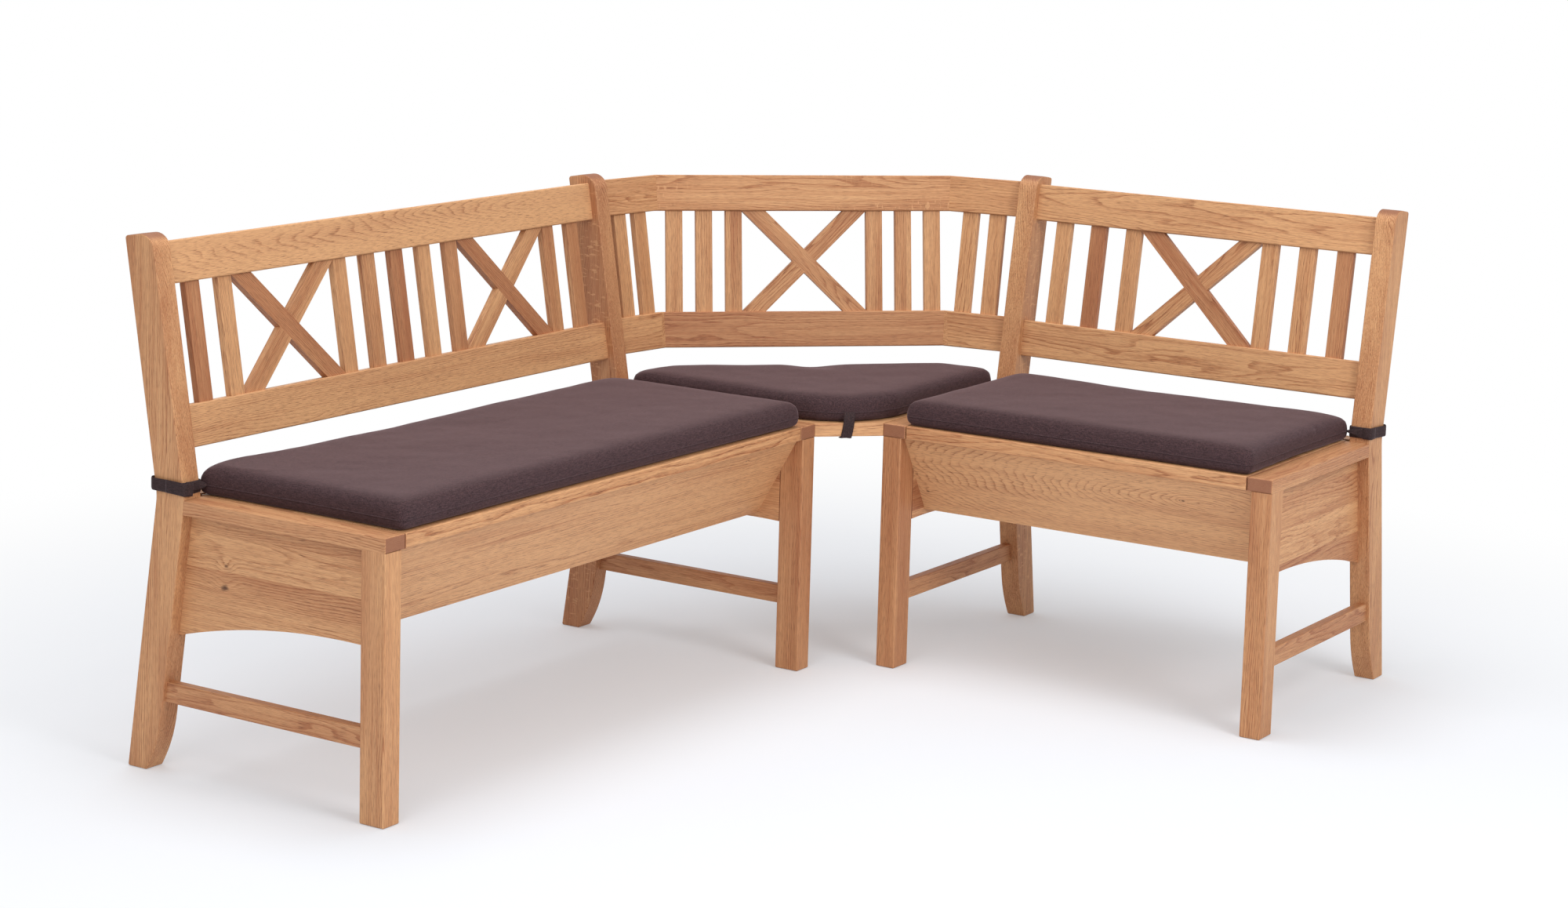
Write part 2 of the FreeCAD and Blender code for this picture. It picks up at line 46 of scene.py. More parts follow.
GAP = 88.8                    # from the corner's axes to the inner end of each bench
LONG = 1188.0
SHORT = 763.0
SEAT = 450.0
LEAN = math.radians(9.3)      # the backs lean by this
TURN = math.radians(8.0)      # the corner's two short sides turn in by this
CROSS_RISE = 192.0            # height between the two back rails
CROSS_WIDE = 46.0
BENCH_BAY = 246.0
CORNER_BAY = 243.0
CORNER_HALF = 0.279           # half the long side of the corner's back, in metres
LONG_START = SHIFT[0] - GAP - LONG
SHORT_START = SHIFT[1] - GAP

PHOTO_WIDTH = 2000
FOCAL = 4083.8                # in pixels of the photograph


def at_long(u, v, z):
    return Vector((LONG_START + u, SHIFT[1] + v, z)) / 1000


def at_short(u, v, z):
    return Vector((SHIFT[0] + v, SHORT_START - u, z)) / 1000


def at_corner(x, y, z):
    return Vector((SHIFT[0] + x, SHIFT[1] + y, z)) / 1000


# Camera: the photograph's place and lens.
def add_camera():
    yaw, pitch, roll = math.radians(33.393), math.radians(-8.671), math.radians(1.512)
    ahead = Vector((math.cos(pitch) * math.cos(yaw), math.cos(pitch) * math.sin(yaw), math.sin(pitch)))
    right = ahead.cross(Vector((0, 0, 1))).normalized()
    up = right.cross(ahead)
    right_r = right * math.cos(roll) + up * math.sin(roll)
    up_r = up * math.cos(roll) - right * math.sin(roll)
    data = bpy.data.cameras.new("camera")
    data.sensor_width = 36
    data.lens = FOCAL * 36 / PHOTO_WIDTH
    data.shift_x = 33.0 / PHOTO_WIDTH
    data.shift_y = -0.1
    data.clip_end = 100
    cam = bpy.data.objects.new("camera", data)
    bpy.context.scene.collection.objects.link(cam)
    turn = Matrix((right_r, up_r, -ahead)).transposed().to_4x4()
    cam.matrix_world = Matrix.Translation((-4.4928, -2.8583, 1.539)) @ turn
    bpy.context.scene.camera = cam


add_camera()


# Node materials.
class Shader:
    """A material with short calls for its nodes. Numbers and sockets may be mixed as inputs."""

    def __init__(self, name):
        self.mat = bpy.data.materials.new(name)
        self.mat.use_nodes = True
        self.tree = self.mat.node_tree
        self.bsdf = self.tree.nodes["Principled BSDF"]
        self.out = self.tree.nodes["Material Output"]

    def put(self, socket, value):
        if isinstance(value, bpy.types.NodeSocket):
            self.tree.links.new(value, socket)
        else:
            socket.default_value = value

    def node(self, kind, **props):
        n = self.tree.nodes.new(kind)
        for k, v in props.items():
            setattr(n, k, v)
        return n

    def math(self, op, a, b=0.0, c=0.0, clamp=False):
        n = self.node("ShaderNodeMath", operation=op, use_clamp=clamp)
        for socket, value in zip(n.inputs, (a, b, c)):
            self.put(socket, value)
        return n.outputs[0]

    def vec(self, op, a, b=(0, 0, 0)):
        n = self.node("ShaderNodeVectorMath", operation=op)
        self.put(n.inputs[0], a)
        self.put(n.inputs[1], b)
        return n.outputs["Value" if op in ("DOT_PRODUCT", "LENGTH") else "Vector"]

    def step(self, value, low, high, to_low=0.0, to_high=1.0):
        n = self.node("ShaderNodeMapRange", interpolation_type="SMOOTHSTEP")
        for socket, v in zip(n.inputs, (value, low, high, to_low, to_high)):
            self.put(socket, v)
        return n.outputs[0]

    def noise(self, vector, scale, detail=2.0, rough=0.5, colour=False):
        n = self.node("ShaderNodeTexNoise")
        self.put(n.inputs["Vector"], vector)
        n.inputs["Scale"].default_value = scale
        n.inputs["Detail"].default_value = detail
        n.inputs["Roughness"].default_value = rough
        return n.outputs["Color" if colour else "Fac"]

    def mix(self, factor, a, b, blend="MIX"):
        n = self.node("ShaderNodeMix", data_type="RGBA", blend_type=blend)
        n.clamp_factor = True
        self.put(n.inputs[0], factor)
        for socket, value in ((n.inputs[6], a), (n.inputs[7], b)):
            self.put(socket, value if isinstance(value, bpy.types.NodeSocket) else (*value[:3], 1.0))
        return n.outputs[2]

    def ramp(self, value, stops):
        n = self.node("ShaderNodeValToRGB")
        self.put(n.inputs[0], value)
        n.color_ramp.interpolation = "EASE"
        while len(n.color_ramp.elements) < len(stops):
            n.color_ramp.elements.new(0.5)
        for e, (p, v) in zip(n.color_ramp.elements, stops):
            e.position = p
            e.color = (v, v, v, 1)
        return n.outputs[0]

    def bump(self, height, strength, distance, normal=None):
        n = self.node("ShaderNodeBump")
        n.inputs["Strength"].default_value = strength
        n.inputs["Distance"].default_value = distance
        self.put(n.inputs["Height"], height)
        if normal is not None:
            self.put(n.inputs["Normal"], normal)
        return n.outputs[0]


def srgb(r, g, b):
    def one(c):
        c = c / 255
        return c / 12.92 if c <= 0.04045 else ((c + 0.055) / 1.055) ** 2.4
    return (one(r), one(g), one(b), 1.0)


OAK_LIGHT = srgb(218, 166, 119)
OAK_MID = srgb(178, 118, 77)
OAK_RED = srgb(154, 90, 62)
OAK_PORE = srgb(100, 56, 35)
OAK_KNOT = srgb(74, 42, 30)
OAK_END = srgb(146, 96, 72)


def oak(name, lay, tone=0.0, red=0.0, seed=0.0, ring=3.4, pith=(-55, 18), stave=0.0, stave_at=0.0,
        knots=(), fleck=0.0, contrast=1.0, spread=1.0, tilt=0.0):
    """Oiled oak. lay is a list of (grain, normal, centre, side, limit): how boards lie in space; the
    later ones hold where a point is further than limit along side. Inside, x is the depth of
    the board, y runs across it and z along its grain, in millimetres."""
    s = Shader(name)
    obj = s.node("ShaderNodeTexCoord")
    place = obj.outputs["Object"]
    parts = []
    for grain, normal, centre, side, limit in lay:
        g = Vector(grain).normalized()
        n = Vector(normal)
        n = (n - g * n.dot(g)).normalized()
        a = g.cross(n)
        rel = s.vec("SUBTRACT", place, tuple(centre))
        here = []
        for axis in (n, a, g):
            here.append(s.math("MULTIPLY", s.vec("DOT_PRODUCT", rel, tuple(axis)), 1000.0))
        end = s.math("ABSOLUTE", s.vec("DOT_PRODUCT", obj.outputs["Normal"], tuple(g)))
        mask = None
        if side is not None:
            mask = s.math("GREATER_THAN", s.vec("DOT_PRODUCT", place, tuple(side)), limit)
        parts.append((here, end, mask))
    (x, y, z), end, _ = parts[0]
    for here, other_end, mask in parts[1:]:
        keep = s.math("SUBTRACT", 1.0, mask)
        mixed = []
        for old, new in zip((x, y, z, end), (*here, other_end)):
            mixed.append(s.math("MULTIPLY_ADD", old, keep, s.math("MULTIPLY", new, mask)))
        x, y, z, end = mixed

    across_y, along_z = y, z
    tint = 0.5
    if stave:
        cell = s.math("FLOOR", s.math("MULTIPLY_ADD", y, 1 / stave, stave_at))
        w = s.node("ShaderNodeTexWhiteNoise", noise_dimensions="1D")
        s.put(w.inputs["W"], s.math("ADD", cell, seed * 7.3 + 0.5))
        tint = w.outputs["Value"]
        rgb = s.node("ShaderNodeSeparateColor")
        s.put(rgb.inputs[0], w.outputs["Color"])
        x = s.math("MULTIPLY_ADD", rgb.outputs[0], 60 * spread, x)
        y = s.math("MULTIPLY_ADD", rgb.outputs[1], 160 * spread, y)
        z = s.math("MULTIPLY_ADD", rgb.outputs[2], 3000, z)
    z = s.math("ADD", z, seed * 1731.0)

    def joined(fx, fy, fz):
        c = s.node("ShaderNodeCombineXYZ")
        for socket, value, f in zip(c.inputs, (x, y, z), (fx, fy, fz)):
            s.put(socket, s.math("MULTIPLY", value, f))
        return c.outputs[0]

    drift = s.noise(joined(1 / 60, 1 / 60, 1 / 420), 1.0, 2.5, 0.5, True)
    sep = s.node("ShaderNodeSeparateColor")
    s.put(sep.inputs[0], drift)
    wx = s.math("MULTIPLY_ADD", s.math("SUBTRACT", sep.outputs[0], 0.5), 34.0, x)
    wy = s.math("MULTIPLY_ADD", s.math("SUBTRACT", sep.outputs[1], 0.5), 34.0, y)
    knot_dark = None
    for ky, kz, size in knots:
        dy = s.math("SUBTRACT", across_y, float(ky))
        dz = s.math("MULTIPLY", s.math("SUBTRACT", along_z, float(kz)), 0.6)
        d = s.math("SQRT", s.math("ADD", s.math("MULTIPLY", dy, dy), s.math("MULTIPLY", dz, dz)))
        away = s.math("POWER", s.math("DIVIDE", d, size * 2.6), 2.0)
        near = s.math("POWER", 2.718, s.math("MULTIPLY", away, -1.0))
        wx = s.math("MULTIPLY_ADD", near, -size * 2.2, wx)
        dark = s.step(s.math("MULTIPLY_ADD", s.noise(joined(0.2, 0.2, 0.1), 1.0), size * 0.9, d),
                      size * 0.55, size * 1.5, 1.0, 0.0)
        knot_dark = dark if knot_dark is None else s.math("MAXIMUM", knot_dark, dark)
    rx = s.math("SUBTRACT", wx, float(pith[0]))
    if tilt:
        rx = s.math("MULTIPLY_ADD", along_z, -tilt, rx)
    ry = s.math("SUBTRACT", wy, float(pith[1]))
    radius = s.math("SQRT", s.math("ADD", s.math("MULTIPLY", rx, rx), s.math("MULTIPLY", ry, ry)))
    loose = s.noise(joined(1 / 9, 1 / 9, 1 / 160), 1.0, 2.0)
    turns = s.math("MULTIPLY_ADD", loose, 0.9, s.math("DIVIDE", radius, ring))
    early = s.ramp(s.math("FRACT", turns),
                   [(0.0, 0.9), (0.05, 1.0), (0.30, 0.32), (0.60, 0.08), (0.93, 0.0), (1.0, 0.9)])
    strength = s.noise(joined(1 / 26, 1 / 26, 1 / 500), 1.0, 1.0)
    early = s.math("MULTIPLY", early, s.step(strength, 0.30, 0.66, 0.25, 1.0))
    fibre = s.noise(joined(1 / 1.1, 1 / 1.1, 1 / 90), 1.0, 3.0, 0.65)
    line = s.step(s.noise(joined(1 / 1.7, 1 / 1.7, 1 / 300), 1.0, 2.0, 0.7), 0.46, 0.66)
    streak = s.noise(joined(1 / 6.0, 1 / 6.0, 1 / 420), 1.0, 2.0, 0.6)
    broad = s.noise(joined(1 / 42, 1 / 42, 1 / 380), 1.0, 2.0, 0.5)
    pore = s.step(s.noise(joined(1 / 0.7, 1 / 0.7, 1 / 17), 1.0, 1.0), 0.50, 0.64)
    pore = s.math("MULTIPLY", pore, s.math("MULTIPLY_ADD", early, 0.65, 0.40))

    dark = s.math("MULTIPLY_ADD", early, 0.62 * contrast, 0.12 + tone)
    dark = s.math("MULTIPLY_ADD", s.math("SUBTRACT", fibre, 0.5), 1.1 * contrast, dark)
    dark = s.math("MULTIPLY_ADD", line, 0.30 * contrast, dark)
    dark = s.math("MULTIPLY_ADD", s.math("SUBTRACT", streak, 0.5), 0.8 * contrast, dark)
    dark = s.math("MULTIPLY_ADD", s.math("SUBTRACT", broad, 0.5), 0.9, dark)
    if stave:
        dark = s.math("MULTIPLY_ADD", s.math("SUBTRACT", tint, 0.5), 0.5 * spread, dark)
    colour = s.mix(dark, OAK_LIGHT, OAK_MID)
    warm = s.math("MULTIPLY_ADD", s.math("SUBTRACT", broad, 0.5), 0.7, red)
    warm = s.math("MULTIPLY_ADD", early, 0.16, warm)
    if stave:
        warm = s.math("MULTIPLY_ADD", s.math("SUBTRACT", tint, 0.6), 0.8 * spread, warm)
    colour = s.mix(warm, colour, OAK_RED)
    colour = s.mix(s.math("MULTIPLY", pore, 0.68), colour, OAK_PORE)
    if fleck:
        ray = s.noise(joined(1 / 3.0, 1 / 16.0, 1 / 5.0), 1.0, 2.0, 0.6)
        ray = s.step(ray, 0.56, 0.66)
        ray = s.math("MULTIPLY", ray, s.step(broad, 0.4, 0.6))
        colour = s.mix(s.math("MULTIPLY", ray, fleck), colour, OAK_LIGHT)
    if knot_dark is not None:
        colour = s.mix(s.math("MULTIPLY", knot_dark, 0.9), colour, OAK_KNOT)
    cut = s.step(end, 0.62, 0.92)
    end_colour = s.mix(s.math("MULTIPLY", pore, 0.6), OAK_END, OAK_PORE)
    colour = s.mix(s.math("MULTIPLY", cut, 0.85), colour, end_colour)
    s.put(s.bsdf.inputs["Base Color"], colour)
    gloss = s.math("MULTIPLY_ADD", fibre, 0.16, 0.44)
    s.put(s.bsdf.inputs["Roughness"], s.math("MULTIPLY_ADD", cut, 0.12, gloss))
    s.bsdf.inputs["Specular IOR Level"].default_value = 0.32
    height = s.math("MULTIPLY_ADD", fibre, 0.5, s.math("MULTIPLY", early, -0.3))
    height = s.math("MULTIPLY_ADD", pore, -0.9, height)
    s.put(s.bsdf.inputs["Normal"], s.bump(height, 0.35, 0.0004))
    return s.mat


def cloth(name, top, low, seam=None, sheen=0.6):
    """Mottled woven cloth: crossing threads with lighter and darker yarns. seam is a height in metres where
    a thin band of painted shade darkens the cloth, for the crease under the seam's piping.
    """
    s = Shader(name)
    place = s.node("ShaderNodeTexCoord").outputs["Object"]
    mm = s.vec("MULTIPLY", place, (1000, 1000, 1000))
    warp = s.noise(s.vec("MULTIPLY", mm, (1 / 1.3, 1 / 9.0, 1 / 1.3)), 1.0, 1.0)
    weft = s.noise(s.vec("MULTIPLY", mm, (1 / 9.0, 1 / 1.3, 1 / 1.3)), 1.0, 1.0)
    grain = s.noise(mm, 0.8, 2.0, 0.7)
    blot = s.noise(mm, 1 / 14.0, 2.0, 0.6)
    cross = s.math("ADD", s.math("MULTIPLY", s.math("SUBTRACT", warp, 0.5), 1.5),
                   s.math("MULTIPLY", s.math("SUBTRACT", weft, 0.5), 1.5))
    mixv = s.math("MULTIPLY_ADD", s.math("SUBTRACT", grain, 0.5), 1.9, s.math("ADD", cross, 0.5))
    mixv = s.math("MULTIPLY_ADD", s.math("SUBTRACT", blot, 0.5), 0.15, mixv)
    colour = s.mix(mixv, low, top)
    yarn = s.step(s.noise(s.vec("MULTIPLY", mm, (1 / 2.2, 1 / 2.2, 1 / 2.2)), 1.0, 1.0), 0.62, 0.74)
    colour = s.mix(s.math("MULTIPLY", yarn, 0.35), colour, srgb(112, 76, 72))
    # Painted shade: a thin dark band at the seam height, for the shade in the crease under the piping cord.
    if seam is not None:
        z = s.node("ShaderNodeSeparateXYZ")
        s.put(z.inputs[0], place)
        d = s.math("ABSOLUTE", s.math("SUBTRACT", z.outputs[2], seam))
        dark = s.step(d, 0.0003, 0.0016, 0.55, 0.0)
        colour = s.mix(dark, colour, srgb(42, 30, 32))
    s.put(s.bsdf.inputs["Base Color"], colour)
    s.bsdf.inputs["Roughness"].default_value = 0.92
    s.bsdf.inputs["Specular IOR Level"].default_value = 0.15
    s.bsdf.inputs["Sheen Weight"].default_value = sheen
    s.bsdf.inputs["Sheen Roughness"].default_value = 0.35
    s.bsdf.inputs["Sheen Tint"].default_value = srgb(190, 165, 170)
    weave = s.math("ADD", s.noise(mm, 0.9, 2.0, 0.6), s.math("MULTIPLY", cross, 0.4))
    s.put(s.bsdf.inputs["Normal"], s.bump(weave, 0.45, 0.0005))
    return s.mat


def steel(name):
    s = Shader(name)
    place = s.node("ShaderNodeTexCoord").outputs["Object"]
    brush = s.noise(s.vec("MULTIPLY", place, (90, 2600, 2600)), 1.0, 2.0)
    smudge = s.noise(place, 60.0, 2.0)
    colour = s.mix(s.math("MULTIPLY_ADD", s.math("SUBTRACT", brush, 0.5), 0.8, smudge),
                   srgb(196, 192, 184), srgb(160, 156, 148))
    s.put(s.bsdf.inputs["Base Color"], colour)
    s.bsdf.inputs["Metallic"].default_value = 1.0
    s.put(s.bsdf.inputs["Roughness"], s.math("MULTIPLY_ADD", brush, 0.22, 0.28))
    s.put(s.bsdf.inputs["Normal"], s.bump(brush, 0.15, 0.0001))
    return s.mat


# Wood: how each board lies. TILT is the way that a leaning back faces, UP runs up its slope.
TILT_L = Vector((0, math.cos(LEAN), -math.sin(LEAN)))
UP_L = Vector((0, math.sin(LEAN), math.cos(LEAN)))
TILT_S = Vector((math.cos(LEAN), 0, -math.sin(LEAN)))
UP_S = Vector((math.sin(LEAN), 0, math.cos(LEAN)))
X, Y, Z = Vector((1, 0, 0)), Vector((0, 1, 0)), Vector((0, 0, 1))


def middle(node):
    lo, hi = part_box(node)
    return (Vector(lo) + Vector(hi)) / 2


def dress(node, grain, normal, lay=None, **how):
    if node not in nodes:
        raise RuntimeError("no node " + node)
    if lay is None:
        lay = [(grain, normal, middle(node), None, 0.0)]
    mat = oak("oak_" + node, lay, **how)
    ob = nodes[node]
    ob.data.materials.clear()
    ob.data.materials.append(mat)


seed = [1.0]


def fresh():
    """Another start for the next board's grain."""
    seed[0] += 1.37
    return seed[0]


for side, along, depth, tilt, up in (("long", X, Y, TILT_L, UP_L), ("short", -Y, X, TILT_S, UP_S)):
    on_long = side == "long"
    for end in ("outer", "inner"):
        inner = end == "inner"
        dress(f"{side}_{end}_front_leg", Z, along, seed=fresh(), ring=2.6, pith=(-90, -80),
              red=(0.12 if inner else 0.0) + 0.05, tone=0.10 if on_long else 0.22)
        post_red = 0.04
        if inner:
            post_red = 0.30 if on_long else 0.10
        lean_grain = (Z + depth * (-0.02)).normalized()
        dress(f"{side}_{end}_back_post", lean_grain, along, seed=fresh(), ring=2.8, pith=(-90, -66),
              tone=0.0 if inner and not on_long else 0.16, red=post_red, fleck=0.5 if inner else 0.0)
        dress(f"{side}_{end}_side_rail", depth, Z, seed=fresh(), ring=3.0, pith=(-40, 10), tone=0.12,
              red=0.14)
        knots = ((9, 99, 6.5), (-26, 96, 4.0)) if on_long and not inner else ()
        dress(f"{side}_{end}_end_panel", depth, along, seed=fresh(), ring=3.4, pith=(-50, 20), stave=58.0,
              stave_at=0.3, knots=knots, tone=0.10, red=0.06, spread=0.9)
    dress(f"{side}_stretchers", depth, along, seed=fresh(), ring=2.8, tone=0.22, red=0.14)
    dress(f"{side}_lid", along, Z, seed=fresh(), ring=3.6, stave=84.0, stave_at=0.2, tone=0.0, spread=0.8)
    dress(f"{side}_hinge_rail", along, Z, seed=fresh(), ring=3.0)
    dress(f"{side}_chest_back", along, depth, seed=fresh(), stave=70.0)
    dress(f"{side}_chest_bottom", along, Z, seed=fresh(), stave=80.0)
    front_n = (depth * 0.87 + Z * 0.49)
    if on_long:
        dress("long_chest_front", along, front_n, seed=fresh(), ring=3.8, pith=(-46, 30), stave=92.0,
              stave_at=0.62, tone=-0.08, spread=0.7, knots=((67, 407, 2.2),))
    else:
        dress("short_chest_front", along, front_n, seed=fresh(), ring=4.6, pith=(-70, 42), tone=-0.42,
              tilt=0.24, contrast=1.1, knots=((-33, -325, 3.2), (40, 202, 2.6)))
    dress(f"{side}_back_top_rail", along, tilt, seed=fresh(), ring=3.6, pith=(-60, 10),
          tone=-0.66 if on_long else -0.16, tilt=0.10 if on_long else 0.02)
    dress(f"{side}_back_low_rail", along, tilt, seed=fresh(), ring=2.8, tone=-0.24 if on_long else -0.14,
          pith=(-60, -70) if on_long else (-80, -4), contrast=0.9 if on_long else 1.3)
    dress(f"{side}_back_slats", up, tilt, seed=fresh(), ring=2.6, pith=(-50, -56), stave=73.5, stave_at=0.5,
          tone=0.10, red=0.05, spread=1.1)
    across_bay, up_bay = along * (BENCH_BAY - CROSS_WIDE), up * CROSS_RISE
    dress(f"{side}_cross_falling", (across_bay - up_bay).normalized(), tilt, seed=fresh(), ring=2.6,
          pith=(-60, 20), tone=0.30, red=0.30)
    dress(f"{side}_cross_rising", (across_bay + up_bay).normalized(), tilt, seed=fresh(), ring=2.6,
          pith=(-60, 20), tone=0.08, red=0.05)

# Corner backrest: three sides with the same slope.
DIAG = Vector((1, -1, 0)).normalized()
BACK = Vector((1, 1, 0)).normalized()
TILT_C = BACK * math.cos(LEAN) - Z * math.sin(LEAN)
UP_C = BACK * math.sin(LEAN) + Z * math.cos(LEAN)
LEFT = Vector((math.sin(TURN), math.cos(TURN), 0))
LEFT_ALONG = Vector((math.cos(TURN), -math.sin(TURN), 0))
RIGHT = Vector((math.cos(TURN), math.sin(TURN), 0))
RIGHT_ALONG = Vector((math.sin(TURN), -math.cos(TURN), 0))
mid_c = at_corner(217, 217, 680)
across = DIAG.dot(at_corner(0, 0, 0))


def corner_lay(grains):
    """grains holds a direction for each of the corner's three sides: left, long and right."""
    tilts = [n * math.cos(LEAN) - Z * math.sin(LEAN) for n in (LEFT, BACK, RIGHT)]
    low, high = across - CORNER_HALF, across + CORNER_HALF
    return [(grains[0], tilts[0], mid_c, None, 0.0), (grains[1], tilts[1], mid_c, DIAG, low),
            (grains[2], tilts[2], mid_c, DIAG, high)]


ups = [n * math.sin(LEAN) + Z * math.cos(LEAN) for n in (LEFT, BACK, RIGHT)]
dress("corner_slats", None, None, lay=corner_lay(ups), seed=fresh(), ring=2.6, pith=(-60, 20), stave=57.5,
      stave_at=0.5, tone=0.08)
dress("corner_top_rail", DIAG, TILT_C, seed=fresh(), ring=3.0, pith=(-60, 30), tone=0.16, fleck=0.7)
dress("corner_low_rail", DIAG, TILT_C, seed=fresh(), ring=3.2, pith=(-60, 0), tone=0.16, red=0.34)
for name in ("top", "low"):
    dress(f"corner_{name}_side_rails", None, None,
          lay=corner_lay((LEFT_ALONG, DIAG, RIGHT_ALONG)), seed=fresh(), ring=3.0, pith=(-60, 20), tone=0.0)
dress("corner_seat", DIAG, Z, seed=fresh(), ring=3.2, stave=84.0, tone=0.0)
dress("corner_seat_cleats", Y, Z, seed=fresh(), ring=3.0)
across_bay, up_bay = DIAG * (CORNER_BAY - CROSS_WIDE), UP_C * CROSS_RISE
dress("corner_cross_falling", across_bay - up_bay, TILT_C, seed=fresh(), ring=2.6, tone=0.1, red=0.08)
dress("corner_cross_rising", across_bay + up_bay, TILT_C, seed=fresh(), ring=2.6, tone=0.14, red=0.10)

metal = steel("hinge_steel")
for node, ob in nodes.items():
    if "hinge_frame" in node or "lid_hinge" in node or node == "hinge_pins":
        ob.data.materials.clear()
        ob.data.materials.append(metal)


# Cushions.
def ring_points(poly, inset, radius, bow, per_corner=7, spacing=9.0):
    """Outline of a counterclockwise polygon moved in by inset, with rounded corners and sides that
    are drawn in by bow. Every ring of a cushion gets the same number of points."""
    n = len(poly)
    lines = []
    for i in range(n):
        a, b = Vector(poly[i]), Vector(poly[(i + 1) % n])
        t = (b - a).normalized()
        lines.append((a + Vector((-t.y, t.x)) * inset, t))
    corners = []
    for i in range(n):
        p, t = lines[i - 1]
        q, w = lines[i]
        k = ((q.x - p.x) * w.y - (q.y - p.y) * w.x) / (t.x * w.y - t.y * w.x)
        corners.append(p + t * k)
    arcs = []
    for i in range(n):
        a, b, c = corners[i - 1], corners[i], corners[(i + 1) % n]
        u, w = (a - b).normalized(), (c - b).normalized()
        half = u.angle(w) / 2
        r = min(radius, 0.42 * min((a - b).length, (c - b).length) * math.tan(half))
        mid = (u + w).normalized()
        centre = b + mid * (r / math.sin(half))
        start, stop = b + u * (r / math.tan(half)), b + w * (r / math.tan(half))
        a0 = math.atan2(start.y - centre.y, start.x - centre.x)
        a1 = math.atan2(stop.y - centre.y, stop.x - centre.x)
        while a1 < a0:
            a1 += 2 * math.pi
        arcs.append([centre + Vector((math.cos(a0 + (a1 - a0) * k / (per_corner - 1)),
                                      math.sin(a0 + (a1 - a0) * k / (per_corner - 1)))) * r
                     for k in range(per_corner)])
    out = []
    for i in range(n):
        out.extend(arcs[i])
        a, b = arcs[i][-1], arcs[(i + 1) % n][0]
        full = (Vector(poly[(i + 1) % n]) - Vector(poly[i])).length
        steps = max(2, round(full / spacing))
        side = b - a
        inward = Vector((-side.y, side.x)).normalized()
        depth = bow if full > 150 else 0.0
        for k in range(1, steps):
            f = k / steps
            out.append(a + side * f + inward * (depth * 4 * f * (1 - f)))
    return out


# Section of a cushion's side: height above its underside, and how far it stands in from the outline.
PROFILE = [(0.0, 6.0), (1.5, 3.2), (5.0, 1.4), (10.0, 0.5), (15.5, 0.2), (17.5, 0.0), (21.0, 0.3),
           (27.0, 0.8), (33.5, 2.0), (39.0, 4.6), (42.8, 10.0), (44.9, 17.0), (46.0, 27.0), (46.5, 40.0)]


PAD_HIGH = 0.0480             # a filled cushion is no higher than this
FILL_RISE = 0.0010            # the filling may raise a point by this
FILL_SIDE = 0.0008            # or move it sideways by this
WAVE = 0.0009
VOXEL = 0.006


def cushion_mesh(name, poly, radius, base, place):
    bm = bmesh.new()
    rings = []
    for z, inset in PROFILE:
        pts = ring_points(poly, inset, radius + inset * 0.25, 3.0)
        rings.append([bm.verts.new(place(p.x, p.y, base + z)) for p in pts])
    for a, b in zip(rings, rings[1:]):
        for i in range(len(a)):
            j = (i + 1) % len(a)
            bm.faces.new((a[i], a[j], b[j], b[i]))
    bm.faces.new(list(reversed(rings[0])))
    bm.faces.new(rings[-1])
    bmesh.ops.recalc_face_normals(bm, faces=bm.faces)
    mesh = bpy.data.meshes.new(name)
    bm.to_mesh(mesh)
    bm.free()
    ob = bpy.data.objects.new(name, mesh)
    bpy.context.scene.collection.objects.link(ob)
    return ob


def baked(ob):
    """The object's mesh with its modifiers applied."""
    dg = bpy.context.evaluated_depsgraph_get()
    mesh = bpy.data.meshes.new_from_object(ob.evaluated_get(dg))
    old = ob.data
    ob.modifiers.clear()
    ob.data = mesh
    bpy.data.meshes.remove(old)


def limited(d, most):
    return d * (most / d.length) if d.length > most else d


def puff(ob, base, dents):
    """Fills the cover by cloth simulation, keeps its underside flat and adds the cloth's slight waves.
    dents are (x, y, width, depth) in millimetres, and a negative depth is a bulge."""
    mod = ob.modifiers.new("remesh", "REMESH")
    mod.mode = "VOXEL"
    mod.voxel_size = VOXEL
    mod.use_smooth_shade = True
    baked(ob)
    start = [v.co.copy() for v in ob.data.vertices]
    mod = ob.modifiers.new("cloth", "CLOTH")
    st = mod.settings
    st.quality = 3
    st.mass = 0.3
    st.use_pressure = True
    st.uniform_pressure_force = 4.0
    st.tension_stiffness = 25
    st.compression_stiffness = 25
    st.bending_stiffness = 2.0
    st.effector_weights.gravity = 0.0
    mod.point_cache.frame_start = 1
    mod.point_cache.frame_end = 20
    for f in range(1, 21):
        bpy.context.scene.frame_set(f)
    baked(ob)
    bpy.context.scene.frame_set(1)
    for v, s in zip(ob.data.vertices, start):
        d = v.co - s
        flat = limited(Vector((d.x, d.y, 0)), FILL_SIDE)
        v.co = s + flat + Vector((0, 0, max(-FILL_RISE, min(FILL_RISE, d.z))))
    low = base / 1000
    for v in ob.data.vertices:
        h = (v.co.z - low) / PAD_HIGH
        p = v.co * 1000
        wave = noise.noise(Vector((p.x / 95, p.y / 95, 3.1)))
        wave += 0.5 * noise.noise(Vector((p.x / 38, p.y / 38, 9.7)))
        if h > 0.75:
            v.co.z += WAVE * wave
        for x, y, width, depth in dents:
            dist2 = (p.x - x) ** 2 + (p.y - y) ** 2
            v.co.z -= 0.001 * depth * math.exp(-dist2 / width ** 2) * max(0.0, min(1.0, h))
        v.co.z = min(max(v.co.z, low), low + PAD_HIGH)
    ob.data.update()
    mod = ob.modifiers.new("smooth", "SUBSURF")
    mod.levels = 1
    mod.render_levels = 1
    baked(ob)
    for f in ob.data.polygons:
        f.use_smooth = True


